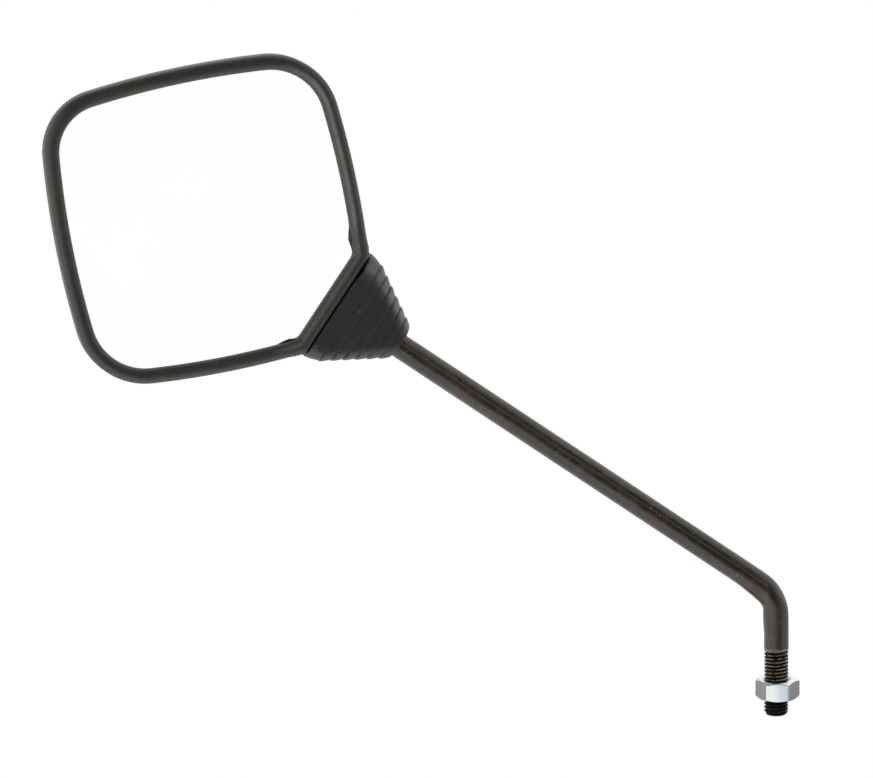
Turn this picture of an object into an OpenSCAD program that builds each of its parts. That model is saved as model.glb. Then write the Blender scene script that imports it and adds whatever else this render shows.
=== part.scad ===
// Left-hand motorcycle mirror on a bent rod with an M10 x 1.5 stud.
// Millimetres, +Z up along the stud, origin at the middle of the stud's tip.
// The head is drawn in its own frame: origin at the ball's centre, +X along the arm
// into the head, +Y along the cut corner, +Z out of the glass.

/* [Stem] */
// Diameter of the bent rod
rod_d = 10; // [9:0.5:12]
// Outer diameter of the thread on the stud
thread_d = 9.9; // [8.9:0.1:9.95]
// Length of the thread, from the tip
thread_length = 28; // [24:1:32]
// Chamfer at the stud's tip
tip_chamfer = 1; // [0.5:0.1:1.5]
// Height at which the bend begins
bend_start = 42.62; // [40:0.02:65]
// Angle between the upright and the arm
bend_angle = 55.5; // [40:0.5:70]
// Radius of the bend, at the rod's middle
bend_radius = 15; // [8:0.5:20]
// How far the bend stands proud of the straight rod
bend_swell = 0.02; // [0.01:0.01:0.05]
// Distance from the end of the bend to the ball's centre
arm_length = 200.12; // [150:0.02:260]
// Diameter of the neck that carries the ball
neck_d = 6.4; // [5.5:0.1:6.6]
// Distance from the ball's centre to the shoulder of the neck
neck_reach = 12; // [11:0.5:14]

/* [Lock nut] */
// Width across the flats
nut_flats = 16; // [15:0.5:18]
// Height of the nut
nut_height = 8; // [6:0.5:8.5]
// Height of the nut's underside above the stud's tip
nut_rest = 7; // [4:0.5:12]
// Turn of the nut about the stud, in degrees
nut_turn = -6; // [-30:1:30]
// Radial clearance of the nut on the thread
nut_clearance = 0.05; // [0.02:0.01:0.09]

/* [Ball joint] */
// Diameter of the ball
ball_d = 14; // [13.5:0.1:14.2]
// Thickness of the plastic seats
seat_thickness = 0.8; // [0.6:0.1:0.9]
// Running clearance between ball, seats and domes
joint_clearance = 0.03; // [0.02:0.01:0.05]
// Thickness of the two pressed clamp plates
plate_thickness = 1.5; // [1.2:0.1:1.6]
// Gap between the flat faces of the two clamp plates
plate_gap = 4.4; // [4:0.1:4.8]
// Largest swing of the neck in any direction, in degrees
neck_swing = 22; // [18:1:23]
// Diameter of the clamp screws
screw_d = 4; // [3.5:0.5:4]
// Distance from the clamp domes to the middle of each clamp screw
screw_gap = 3.5; // [3.4:0.05:4]
// Distance of the clamp screws from the ball's centre, towards the head
screw_offset = 2; // [1.5:0.5:2.5]
// Radial clearance of screws in plates, washers and nuts
screw_clearance = 0.15; // [0.1:0.05:0.25]

/* [Head outline] */
// Width of the head between the middles of opposite sides
head_size = 125; // [115:1:135]
// Radius of the bow of each side
side_bow = 372; // [300:1:600]
// Radius of the round corner opposite the cut
far_radius = 25.5; // [22:0.5:29]
// Radius of the two round corners next to the cut
near_radius = 28.5; // [22:0.5:32]
// How much the cut takes off the square's fourth corner, measured along the diagonal
cut_depth = 24.7; // [23:0.1:29]
// Gap between the ball's centre and the outer edge of the cut corner
ball_gap = 10.4; // [10.2:0.1:12]
// Turn of the head about the arm, in degrees
head_roll = 13.4; // [-40:0.2:60]

/* [Edge trim and glass] */
// Width of the rubber bead
trim_width = 6.3; // [5.6:0.1:7]
// Height of the bead over the glass
bead_height = 3; // [2.5:0.1:3.5]
// Height of the bead's top over the ball's centre
trim_front = 15.5; // [15:0.1:17]
// Thickness of the trim outside and behind the housing's lip
trim_wall = 2; // [1.6:0.1:2.4]
// Outer radius of the trim at the ends of the cut corner
trim_cut_radius = 3; // [2:0.5:6]
// Thickness of the glass
glass_thickness = 3; // [2:0.1:4]
// Radius of the glass at the ends of the cut corner
glass_cut_radius = 30; // [20:1:34]
// Clearance between glass, lip and trim along their edges
edge_clearance = 0.3; // [0.2:0.05:0.5]
// Thickness of the foam pad behind the glass
pad_thickness = 4; // [3:0.5:5]

/* [Housing] */
// Wall of the moulded housing
shell_wall = 2.2; // [1.8:0.1:2.6]
// Thickness of the housing's lip under the glass
lip_thickness = 2; // [1.6:0.1:2.4]
// Radius between the housing's sides and its back
shell_round = 9.5; // [8:0.5:10]
// Inset of the middle of that radius from the trim's outer edge
shell_round_inset = 18; // [17.6:0.1:20]
// Height of the middle of that radius from the ball's centre
shell_round_height = -2.4; // [-3.4:0.1:-2]
// Draft of the housing's sides, in degrees
shell_draft = 14; // [10:1:15]
// Slope of the housing's back, in degrees
shell_crown = 3; // [1:0.5:5]
// Thickness of the ribs inside
rib_thickness = 1.8; // [1.2:0.1:2.4]
// Distance of the inner ribs from the head's middle
rib_inner = 12; // [10:1:18]
// Distance of the outer ribs from the head's middle
rib_outer = 38; // [30:1:42]
// Wall of the collar
collar_wall = 1.8; // [1.5:0.1:1.8]

/* [Bracket] */
// Width of the bracket's tongue at the collar
tongue_width = 26; // [22:1:30]
// Distance of the two near bracket screws from the ball's centre
near_screws = 30; // [28:1:32]
// Distance between the two near bracket screws
near_spacing = 22; // [18:1:26]
// Distance of the far bracket screw from the ball's centre
far_screw = 44; // [42:1:46]
// Outer diameter of the housing's screw bosses
boss_d = 8; // [7:0.5:9]
// Diameter of the bracket screws
tapping_d = 3.9; // [3.5:0.1:4.2]
// Length of the bracket screws under the head
tapping_length = 8; // [7:0.5:8.5]

/* [Boot] */
// Length of the boot along the arm
boot_length = 31.2; // [30:0.2:33]
// Length of the boot's plain band, next to the head
plain_band = 6.1; // [5.6:0.1:6.6]
// Room inside the boot's base beside the ears of the clamp plates
side_room = 5.3; // [5:0.1:5.9]
// Room inside the boot's base in front of and behind the clamp domes
face_room = 2.5; // [2.4:0.1:3]
// How much narrower the boot is at the other end of the plain band
boot_draft = 2.4; // [1.6:0.2:2.6]
// Outer diameter of the boot's collar on the rod
boot_collar_d = 14.8; // [14.4:0.2:17]
// How far the boot's collar sits off the rod's centre, towards the cut corner's upper end
boot_lean = 1.3; // [0:0.1:1.4]
// Corner radius of the boot where it meets the head
boot_corner = 5.5; // [4:0.5:5.5]
// Wall of the boot
boot_wall = 2; // [1.8:0.1:2]
// Number of stepped bands
boot_bands = 7; // [6:1:8]
// How far the head side of each band stands proud of the plain taper
band_step = 0.45; // [0.2:0.05:0.5]
// Depth of the groove between two bands
band_groove = 0.5; // [0.3:0.05:0.6]
// Gap between the boot and the trim, and between the boot and the housing's collar
boot_gap = 0.5; // [0.4:0.1:0.6]
// Clearance of the boot on the rod
boot_bore_gap = 0.25; // [0.2:0.05:0.4]

/* [Hidden] */
$fn = 64;

// Stem
arm_rise = 90 - bend_angle;
bend_overlap = 0.3;
ball_r = ball_d / 2;
ball_place = [
    -bend_radius * (1 - cos(bend_angle)) - arm_length * sin(bend_angle),
    0,
    bend_start + bend_radius * sin(bend_angle) + arm_length * cos(bend_angle)
];

// Ball joint
seat_inner_r = ball_r + joint_clearance;
seat_outer_r = seat_inner_r + seat_thickness;
dome_inner_r = seat_outer_r + joint_clearance;
dome_outer_r = dome_inner_r + plate_thickness;
neck_half_angle = asin(neck_d / 2 / ball_r);
neck_room = neck_half_angle + neck_swing;
seat_half_angle = 90 - neck_room - 1;
plate_low = plate_gap / 2;
plate_high = plate_low + plate_thickness;
screw_hole_r = screw_d / 2 + screw_clearance;
washer_r = screw_d;
washer_thickness = 0.2 * screw_d;
spring_thickness = 0.9;
clamp_nut_height = 0.8 * screw_d;
clamp_nut_r = 1.01 * screw_d;
clamp_head_r = 0.95 * screw_d;
clamp_head_height = 0.65 * screw_d;
ear_r = 1.1 * screw_d;
dome_rim = 1;
screw_reach = dome_outer_r + screw_gap;
screw_places = [[screw_offset, -screw_reach], [screw_offset, screw_reach]];

// Head outline
cut_distance = head_size / sqrt(2) - cut_depth;
head_middle = ball_gap + cut_distance;
bow_shift = side_bow - head_size / 2;
corner_steps = 12;
side_steps = 8;
cut_steps = 6;

// Trim, glass and pad
glass_front = trim_front - bead_height;
glass_back = glass_front - glass_thickness;
lip_back = glass_back - lip_thickness;
trim_back = lip_back - trim_wall;
trim_groove = trim_wall + edge_clearance;
glass_inset = trim_groove + edge_clearance;
glass_cut_inset = glass_inset + 2;
trim_round = 0.7;
bead_steps = 10;
pad_back = glass_back - pad_thickness;

// Boot
boot_width = 2 * (screw_reach + ear_r + side_room + boot_wall);
boot_depth = 2 * (dome_outer_r + face_room + boot_wall);
boot_base = ball_gap - boot_gap;
boot_end = boot_base - boot_length;
band_pitch = (boot_length - plain_band) / (boot_bands - 1);
first_groove = boot_base - plain_band;
boot_corner_steps = 7;

// Housing
shell_crown_inset = 34;
shell_steps = 6;
plate_room = 0.6;
collar_end = screw_offset + ear_r + plate_room;
collar_depth = ball_gap + shell_round_inset - shell_round / 2;
collar_width = boot_width - boot_draft - 2 * boot_wall - 1;
collar_low = -(boot_depth - boot_draft) / 2 + boot_wall + 0.3;
collar_high = 3.4;
collar_corner = 4;

// Bracket
tapping_places = [[near_screws, -near_spacing / 2], [near_screws, near_spacing / 2], [far_screw, 0]];
tapping_clearance = 0.05;
tapping_washer_r = 4.8;
tapping_washer_thickness = 0.8;
tapping_head_r = 3.8;
tapping_head_height = 2.6;
tongue_pad_r = 6;

rubber = [0.16, 0.16, 0.15];
rod_black = [0.20, 0.19, 0.17];
zinc = [0.80, 0.83, 0.86];
plastic = [0.12, 0.12, 0.12];
silvered = [0.93, 0.95, 0.96];

// Points of an arc, from angle a to angle b, without its last point
function arc(x, y, r, a, b, steps) =
    [for (i = [0:steps - 1]) let (t = a + (b - a) * i / steps) [x + r * cos(t), y + r * sin(t)]];

// Distance along a side of the middle of a corner's radius, which is this far from the bow's centre
function corner_reach(reach) = (sqrt(2 * pow(reach, 2) - pow(bow_shift, 2)) - bow_shift) / 2;

// The head's outline set in by d, with radius f at the ends of the cut corner, which is set in by g
function head_outline(d, f, g) =
    let (
        k = bow_shift,
        m = k * sin(45),
        big = side_bow - d,
        far_r = max(far_radius - d, 3),
        near_r = max(near_radius - d, 3),
        far = corner_reach(big - far_r),
        near = corner_reach(big - near_r),
        far_turn = atan2(far, far + k),
        near_turn = atan2(near, near + k),
        fx = f + g - cut_distance,
        fy = sqrt(pow(big - f, 2) - pow(fx - m, 2)) - m,
        turn = atan2(fy + m, fx - m),
        points = concat(
            arc(far * sqrt(2), 0, far_r, far_turn - 45, 45 - far_turn, corner_steps),
            arc(-m, -m, big, 45 - far_turn, 45 + near_turn, side_steps),
            arc(0, near * sqrt(2), near_r, 45 + near_turn, 135 - near_turn, corner_steps),
            arc(m, -m, big, 135 - near_turn, turn, side_steps),
            arc(fx, fy, f, turn, 180, cut_steps),
            [[fx - f, fy], [fx - f, fy / 3], [fx - f, -fy / 3]],
            arc(fx, -fy, f, 180, 360 - turn, cut_steps),
            arc(m, m, big, 360 - turn, 225 + near_turn, side_steps),
            arc(0, -near * sqrt(2), near_r, 225 + near_turn, 315 - near_turn, corner_steps),
            arc(-m, m, big, 315 - near_turn, 315 + far_turn, side_steps)
        )
    )
    [for (p = points) [p[0] + head_middle, p[1]]];

// The same outline as a loop at a height
function head_loop(d, h, f, g) = [for (p = head_outline(d, f, g)) [p[0], p[1], h]];

// A rounded rectangle in the plane across the arm, as a loop at x with its middle at y
function boot_loop(x, y, a, b, r) =
    let (c = min(r, a - 0.3, b - 0.3))
    [for (q = [0:3])
        let (sy = (q == 0 || q == 3) ? 1 : -1, sz = (q < 2) ? 1 : -1)
        for (i = [0:boot_corner_steps])
            let (t = 90 * (q + i / boot_corner_steps))
            [x, y + sy * (a - c) + c * cos(t), sz * (b - c) + c * sin(t)]];

// The boot's loop at x, moved out by e from the plain taper
function boot_section(x, e) =
    let (
        s = max(first_groove - x, 0) / (boot_length - plain_band),
        flare = max(x - first_groove, 0) / plain_band,
        end_r = boot_collar_d / 2,
        shrink = boot_draft * (1 - flare)
    )
    boot_loop(x, -boot_lean * s,
        (boot_width - shrink) / 2 * (1 - s) + end_r * s + e,
        (boot_depth - shrink) / 2 * (1 - s) + end_r * s + e,
        boot_corner * (1 - s) + end_r * s + e);

// A closed solid through loops of points: a ring where ring is true, or else with both ends capped
module skin(loops, ring) {
    n = len(loops[0]);
    m = len(loops);
    points = [for (l = loops) for (p = l) p];
    sides = [for (i = [0:(ring ? m - 1 : m - 2)]) for (j = [0:n - 1])
        let (
            a = i * n + j,
            b = i * n + (j + 1) % n,
            c = ((i + 1) % m) * n + (j + 1) % n,
            d = ((i + 1) % m) * n + j
        )
        each [[a, c, b], [a, d, c]]];
    caps = ring ? [] : [[for (j = [0:n - 1]) j], [for (j = [n - 1:-1:0]) (m - 1) * n + j]];
    polyhedron(points = points, faces = concat(sides, caps), convexity = 8);
}

// Places what is drawn along +Z on the arm's centre line, from the end of the bend
module along_arm() {
    translate([-bend_radius, 0, bend_start]) rotate([0, -bend_angle, 0])
        translate([bend_radius, 0, 0]) children();
}

// Places what is drawn in the head's frame
module in_head() {
    translate(ball_place) rotate([0, 180 + arm_rise, 0]) rotate([90 + head_roll, 0, 0]) children();
}

// Cone about the arm that the neck sweeps, with its apex at the ball's centre
module neck_cone() {
    h = 2 * ball_d;
    rotate([0, -90, 0]) cylinder(r1 = 0, r2 = h * tan(neck_room), h = h);
}

// Hexagonal prism with both ends chamfered, bore and countersinks, standing on z = 0
module hex_nut(flats, height, bore_r) {
    corner_r = flats / sqrt(3);
    face_r = 0.475 * flats;
    fall = (corner_r - face_r) * tan(30);
    lead = 0.06 * flats;
    difference() {
        intersection() {
            cylinder(r = corner_r, h = height, $fn = 6);
            rotate_extrude() polygon([[0, 0], [face_r, 0], [corner_r, fall],
                [corner_r, height - fall], [face_r, height], [0, height]]);
        }
        translate([0, 0, -1]) cylinder(r = bore_r, h = height + 2);
        translate([0, 0, -0.01]) cylinder(r1 = bore_r + lead, r2 = bore_r, h = lead);
        translate([0, 0, height - lead + 0.01]) cylinder(r1 = bore_r, r2 = bore_r + lead, h = lead);
    }
}

// Pan head with its flat underside on z = 0
module pan_head(r, height) {
    edge = 0.3 * height;
    rotate_extrude() polygon([[0, 0], [r, 0], [r, height - 2 * edge], [r - 0.4 * edge, height - edge],
        [r - 1.3 * edge, height - 0.3 * edge], [r - 2.6 * edge, height], [0, height]]);
}

// Cross recess cut into a head from above
module cross_recess(size, depth) {
    for (a = [0, 90]) rotate([0, 0, a]) translate([-size / 2, -size / 8, -depth])
        cube([size, size / 4, depth + 1]);
}

module stem_rod() {
    r = rod_d / 2;
    thread_r = thread_d / 2;
    color(rod_black) {
        cylinder(r1 = thread_r - tip_chamfer, r2 = thread_r, h = tip_chamfer);
        translate([0, 0, tip_chamfer]) cylinder(r = thread_r, h = thread_length - tip_chamfer);
        translate([0, 0, thread_length]) cylinder(r = r, h = bend_start + bend_overlap - thread_length);
        translate([-bend_radius, 0, bend_start]) rotate([90, 0, 0]) rotate_extrude(angle = bend_angle)
            translate([bend_radius, 0]) circle(r = r + bend_swell);
        along_arm() {
            translate([0, 0, -bend_overlap])
                cylinder(r = r, h = arm_length - neck_reach - 1 + bend_overlap);
            translate([0, 0, arm_length - neck_reach - 1])
                cylinder(r1 = r, r2 = neck_d / 2, h = 1);
            translate([0, 0, arm_length - neck_reach])
                cylinder(r = neck_d / 2, h = neck_reach + ball_r * cos(neck_half_angle) - 0.2);
        }
    }
}

module stem_ball() {
    color(rod_black) along_arm() translate([0, 0, arm_length]) difference() {
        sphere(r = ball_r);
        cylinder(r = neck_d / 2, h = 2 * ball_d, center = true);
    }
}

module lock_nut() {
    color(zinc) translate([0, 0, nut_rest]) rotate([0, 0, nut_turn])
        hex_nut(nut_flats, nut_height, thread_d / 2 + nut_clearance);
}

// One seat: a cap of a hollow sphere on the +Z side
module ball_seat() {
    h = 2 * ball_d;
    intersection() {
        difference() {
            sphere(r = seat_outer_r);
            sphere(r = seat_inner_r);
        }
        cylinder(r1 = 0, r2 = h * tan(seat_half_angle), h = h);
    }
}

module ball_seat_front() {
    color("whitesmoke") in_head() ball_seat();
}

module ball_seat_rear() {
    color("whitesmoke") in_head() mirror([0, 0, 1]) ball_seat();
}

// Outline of the flat part of a clamp plate: a disc round the dome and an ear at each screw
module ear_outline() {
    hull() {
        circle(r = dome_outer_r + dome_rim);
        for (p = screw_places) translate(p) circle(r = ear_r);
    }
}

// Outline of the tongue that reaches into the head
module tongue_outline() {
    hull() {
        translate([screw_offset, -tongue_width / 2]) square([1, tongue_width]);
        for (p = tapping_places) translate(p) circle(r = tongue_pad_r);
    }
}

// A clamp plate on the +Z side, with what its children outline added to its flat part
module domed_plate() {
    difference() {
        union() {
            translate([0, 0, plate_low]) linear_extrude(plate_thickness) {
                ear_outline();
                children();
            }
            intersection() {
                sphere(r = dome_outer_r);
                translate([-ball_d, -ball_d, plate_low]) cube([2 * ball_d, 2 * ball_d, ball_d]);
            }
        }
        sphere(r = dome_inner_r);
        neck_cone();
        for (p = screw_places) translate([p[0], p[1], 0]) cylinder(r = screw_hole_r, h = ball_d);
    }
}

module clamp_plate() {
    color("silver") in_head() domed_plate();
}

module clamp_bracket() {
    color("silver") in_head() mirror([0, 0, 1]) difference() {
        domed_plate() tongue_outline();
        for (p = tapping_places) translate([p[0], p[1], 0])
            cylinder(r = tapping_d / 2 + screw_clearance, h = ball_d);
    }
}

module clamp_screws() {
    top = plate_high + washer_thickness;
    low = plate_high + spring_thickness + clamp_nut_height + 0.5;
    color(zinc) in_head() for (p = screw_places) translate([p[0], p[1], 0]) difference() {
        union() {
            translate([0, 0, top]) pan_head(clamp_head_r, clamp_head_height);
            translate([0, 0, -low]) cylinder(r = screw_d / 2, h = low + top);
        }
        translate([0, 0, top + clamp_head_height]) cross_recess(screw_d, 0.6 * clamp_head_height);
    }
}

module clamp_washers() {
    color(zinc) in_head() for (p = screw_places) translate([p[0], p[1], plate_high]) difference() {
        cylinder(r = washer_r, h = washer_thickness);
        translate([0, 0, -1]) cylinder(r = screw_hole_r, h = washer_thickness + 2);
    }
}

// Split rings under the clamp nuts
module spring_washers() {
    outer = 0.9 * washer_r;
    color(zinc) in_head() for (p = screw_places)
        translate([p[0], p[1], -plate_high - spring_thickness]) difference() {
            cylinder(r = outer, h = spring_thickness);
            translate([0, 0, -1]) cylinder(r = screw_hole_r, h = spring_thickness + 2);
            rotate([0, 0, 30]) translate([0, -0.3, -1]) cube([2 * outer, 0.6, spring_thickness + 2]);
        }
}

module clamp_nuts() {
    color(zinc) in_head() for (p = screw_places)
        translate([p[0], p[1], -plate_high - spring_thickness - clamp_nut_height])
            hex_nut(clamp_nut_r * sqrt(3), clamp_nut_height, screw_d / 2 + tapping_clearance);
}

module bracket_washers() {
    color(zinc) in_head() for (p = tapping_places) translate([p[0], p[1], -plate_low]) difference() {
        cylinder(r = tapping_washer_r, h = tapping_washer_thickness);
        translate([0, 0, -1])
            cylinder(r = tapping_d / 2 + screw_clearance, h = tapping_washer_thickness + 2);
    }
}

module bracket_screws() {
    seat = -plate_low + tapping_washer_thickness;
    color(zinc) in_head() for (p = tapping_places) translate([p[0], p[1], seat]) difference() {
        union() {
            pan_head(tapping_head_r, tapping_head_height);
            translate([0, 0, -tapping_length]) cylinder(r = tapping_d / 2, h = tapping_length);
            translate([0, 0, -tapping_length - 1])
                cylinder(r1 = 0.4, r2 = tapping_d / 2, h = 1);
        }
        translate([0, 0, tapping_head_height]) cross_recess(tapping_d, 0.6 * tapping_head_height);
    }
}

// Points of the housing's rounded edge and back, at a depth inside its outer face, from the middle out
function shell_curve(depth) =
    let (r = shell_round - depth, last = 90 - shell_crown)
    concat(
        [[shell_crown_inset, shell_round_height - r * sin(last)
            - (shell_crown_inset - shell_round_inset + r * cos(last)) * tan(shell_crown)]],
        [for (i = [0:shell_steps]) let (t = last + (shell_draft - last) * i / shell_steps)
            [shell_round_inset - r * cos(t), shell_round_height - r * sin(t)]]
    );

// Inset of the housing's side at a height, at a depth inside its outer face
function shell_side(depth, h) =
    let (r = shell_round - depth)
    shell_round_inset - r * cos(shell_draft)
        - (h - shell_round_height + r * sin(shell_draft)) * tan(shell_draft);

// The housing without ribs, bosses and collar: outer face from the middle of its back to the lip,
// over the lip, and back down its inner face
module shell_bowl() {
    outer = shell_curve(0);
    inner = shell_curve(shell_wall);
    turns = len(outer);
    profile = concat(
        outer,
        [[shell_side(0, lip_back), lip_back], [glass_inset, lip_back], [glass_inset, glass_back],
            [shell_side(shell_wall, glass_back), glass_back]],
        [for (i = [turns - 1:-1:0]) inner[i]]
    );
    skin([for (p = profile) head_loop(p[0], p[1], trim_cut_radius + p[0] / 2, p[0])], false);
}

// Reach of a rib that runs square to two sides, at a height inset, when it is q from the middle
function rib_reach(d, q) = sqrt(pow(side_bow - d, 2) - q * q) - bow_shift;

// One rib along +X at y = q, whose ends lie inside the housing's wall
module rib(q) {
    middle = shell_curve(shell_wall / 2);
    ends = concat([for (i = [1:len(middle) - 1]) middle[i]],
        [[shell_side(shell_wall / 2, pad_back), pad_back]]);
    right = [for (p = ends) [rib_reach(p[0], q), p[1]]];
    left = [for (i = [len(ends) - 1:-1:0]) [-rib_reach(ends[i][0], q), ends[i][1]]];
    translate([0, q + rib_thickness / 2, 0]) rotate([90, 0, 0])
        linear_extrude(rib_thickness) polygon(concat(right, left));
}

// Rounded box from x = a to x = b, across the arm
module collar_box(a, b, grow) {
    w = collar_width / 2 + grow;
    r = collar_corner + grow;
    translate([a, 0, 0]) rotate([90, 0, 90]) linear_extrude(b - a) hull() {
        for (y = [-w + r, w - r]) for (z = [collar_low - grow + r, collar_high + grow - r])
            translate([y, z]) circle(r = r, $fn = 32);
    }
}

module housing_shell() {
    floor_depth = shell_round - shell_round_height - shell_wall / 2;
    boss_height = floor_depth - plate_high;
    color(plastic) in_head() difference() {
        union() {
            shell_bowl();
            translate([head_middle, 0, 0]) for (side = [0, 1]) for (q = [rib_inner, rib_outer])
                mirror([0, side, 0]) rotate([0, 0, -45]) rib(q);
            for (p = tapping_places) translate([p[0], p[1], -floor_depth])
                cylinder(d = boss_d, h = boss_height);
            collar_box(collar_end, collar_depth, 0);
        }
        collar_box(collar_end - 1, collar_depth + 1, -collar_wall);
        linear_extrude(collar_high + 1) offset(r = plate_room, $fn = 32) ear_outline($fn = 32);
        for (p = tapping_places) translate([p[0], p[1], -plate_low + tapping_washer_thickness
            - tapping_length - 1.3]) cylinder(r = tapping_d / 2 + tapping_clearance, h = 2 * boss_height);
    }
}

module foam_pad() {
    inset = shell_side(shell_wall, pad_back) + edge_clearance;
    color("dimgray") in_head() translate([0, 0, pad_back])
        linear_extrude(pad_thickness) polygon(head_outline(inset, glass_cut_radius, inset + 2));
}

module mirror_glass() {
    color(silvered) in_head() translate([0, 0, glass_back])
        linear_extrude(glass_thickness)
            polygon(head_outline(glass_inset, glass_cut_radius, glass_cut_inset));
}

// Rubber ring: a half-round bead over the glass, a wall outside, and a foot behind the lip
module edge_trim() {
    half = trim_width / 2;
    foot = shell_side(0, lip_back) - edge_clearance;
    section = concat(
        [[trim_round, trim_back], [0, trim_back + trim_round]],
        [for (i = [0:bead_steps]) let (t = 180 - 180 * i / bead_steps)
            [half + half * cos(t), glass_front + bead_height * sin(t)]],
        [[trim_groove, glass_front], [trim_groove, lip_back], [foot, lip_back],
            [foot, trim_back + trim_round], [foot - trim_round, trim_back]]
    );
    color(rubber) in_head()
        skin([for (p = section) head_loop(p[0], p[1], trim_cut_radius + p[0] / 2, p[0])], true);
}

// Rubber boot in stepped bands, from the arm end to the head outside, and back inside
module boot() {
    shoulder = 0.12 * band_pitch;
    lip = 0.03 * band_pitch;
    bore = rod_d / 2 + boot_bore_gap;
    neck_in = boot_end + band_pitch;
    outside = [for (k = [boot_bands - 1:-1:0])
        let (
            near = k == 0 ? boot_base : first_groove - (k - 1) * band_pitch,
            far = first_groove - k * band_pitch,
            last = k == boot_bands - 1
        )
        each [
            boot_section(far + lip, last ? -band_groove : 0),
            boot_section(far + shoulder, 0),
            boot_section(near - 2.2 * shoulder, band_step),
            boot_section(near - shoulder, 0.6 * band_step),
            boot_section(near - lip, k == 0 ? -lip : -band_groove)
        ]];
    inside = concat(
        [for (x = [boot_base - lip, first_groove, first_groove - 2 * band_pitch, neck_in])
            boot_section(x, -boot_wall)],
        [for (x = [neck_in - shoulder, boot_end + lip]) boot_loop(x, 0, bore, bore, bore)]
    );
    color(rubber) in_head() skin(concat(outside, inside), true);
}

stem_rod();
stem_ball();
lock_nut();
housing_shell();
foam_pad();
mirror_glass();
edge_trim();
boot();
ball_seat_front();
ball_seat_rear();
clamp_plate();
clamp_bracket();
clamp_screws();
clamp_washers();
spring_washers();
clamp_nuts();
bracket_washers();
bracket_screws();
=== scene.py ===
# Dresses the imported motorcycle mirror: bent rod with a cut thread, zinc nut, rubber edge, bellows boot.
import math

import bmesh
import bpy
from mathutils import Matrix, Vector, noise


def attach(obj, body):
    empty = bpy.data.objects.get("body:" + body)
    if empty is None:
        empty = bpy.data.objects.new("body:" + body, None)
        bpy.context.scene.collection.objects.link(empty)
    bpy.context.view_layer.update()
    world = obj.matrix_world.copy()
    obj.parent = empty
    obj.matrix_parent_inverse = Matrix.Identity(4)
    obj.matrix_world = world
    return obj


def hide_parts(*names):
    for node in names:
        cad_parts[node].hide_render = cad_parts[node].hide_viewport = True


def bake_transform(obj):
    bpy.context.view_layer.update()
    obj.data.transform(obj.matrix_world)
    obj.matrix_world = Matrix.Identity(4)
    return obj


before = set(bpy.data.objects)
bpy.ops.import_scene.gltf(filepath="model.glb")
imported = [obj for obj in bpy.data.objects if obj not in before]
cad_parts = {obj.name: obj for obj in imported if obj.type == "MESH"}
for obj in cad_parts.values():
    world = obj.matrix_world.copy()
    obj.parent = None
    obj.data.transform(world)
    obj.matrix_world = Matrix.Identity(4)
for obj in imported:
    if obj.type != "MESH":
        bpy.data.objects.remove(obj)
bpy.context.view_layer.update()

MM = 0.001

# Sizes in millimetres, as in the part's source unless a comment says otherwise
ROD_R = 5.0
THREAD_R = 4.95
THREAD_LENGTH = 28.0
BEND_START = 42.62
BEND_R = 15.0
BEND_ANGLE = math.radians(55.5)
ARM = 200.12
NECK_R = 3.2
NECK_REACH = 12.0
NUT_HEIGHT = 8.0
NUT_REST = 7.0
HEAD_ROLL = math.radians(13.4)
HEAD_SIZE = 125.0
BOW = 372.0
FAR_R = 25.5
NEAR_R = 28.5
CUT_DEPTH = 24.7
CUT = HEAD_SIZE / math.sqrt(2) - CUT_DEPTH
BALL_GAP = 10.4
TRIM_WIDTH = 6.3
FRONT = 15.5
BEAD = 3.0
GLASS_FRONT = FRONT - BEAD
LIP_BACK = 7.5
TRIM_BACK = 5.5
BOOT_LENGTH = 31.2
BOOT_GAP = 0.5
BOOT_WIDTH = 49.06
BOOT_DEPTH = 27.66
BOOT_CORNER = 5.5
BOOT_END_R = 7.4
BOOT_LEAN = 1.3
BOOT_WALL = 2.0
PLAIN_BAND = 6.1
BANDS = 7

# Sizes that only the dressed thread and nut have. The nut is at the small end of its tolerance.
PITCH = 1.5
THREAD_DEPTH = 0.92
NUT_FLATS = 15.8
NUT_CORNER_R = 9.08
NUT_OFFSET = 0.5

BALL = Vector((
    -BEND_R * (1 - math.cos(BEND_ANGLE)) - ARM * math.sin(BEND_ANGLE),
    0.0,
    BEND_START + BEND_R * math.sin(BEND_ANGLE) + ARM * math.cos(BEND_ANGLE),
)) * MM
HEAD = (
    Matrix.Translation(BALL)
    @ Matrix.Rotation(math.pi * 1.5 - BEND_ANGLE, 4, "Y")
    @ Matrix.Rotation(math.pi / 2 + HEAD_ROLL, 4, "X")
    @ Matrix.Scale(MM, 4)
)
STEM = Matrix.Scale(MM, 4)


# Mesh helpers
def piece(name, verts, faces, place, body, material, replaces):
    """A smooth mesh object that takes the place of a solid; without a body it is left unattached."""
    mesh = bpy.data.meshes.new(name)
    mesh.from_pydata([place @ Vector(v) for v in verts], [], faces)
    mesh.update()
    bm = bmesh.new()
    bm.from_mesh(mesh)
    bmesh.ops.recalc_face_normals(bm, faces=bm.faces)
    bm.to_mesh(mesh)
    bm.free()
    for p in mesh.polygons:
        p.use_smooth = True
    obj = bpy.data.objects.new(name, mesh)
    bpy.context.scene.collection.objects.link(obj)
    mesh.materials.append(material)
    if body:
        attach(obj, body)
    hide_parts(*replaces)
    return obj


def lofted(loops, ring=False):
    """Vertices and faces through loops of equal length, closed round into a ring or capped at both ends."""
    n, m = len(loops[0]), len(loops)
    verts = [p for loop in loops for p in loop]
    faces = []
    for i in range(m if ring else m - 1):
        for j in range(n):
            a, b = i * n, ((i + 1) % m) * n
            k = (j + 1) % n
            faces.append((a + j, a + k, b + k, b + j))
    if not ring:
        faces.append(tuple(range(n)))
        faces.append(tuple(range((m - 1) * n, m * n)))
    return verts, faces


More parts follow.
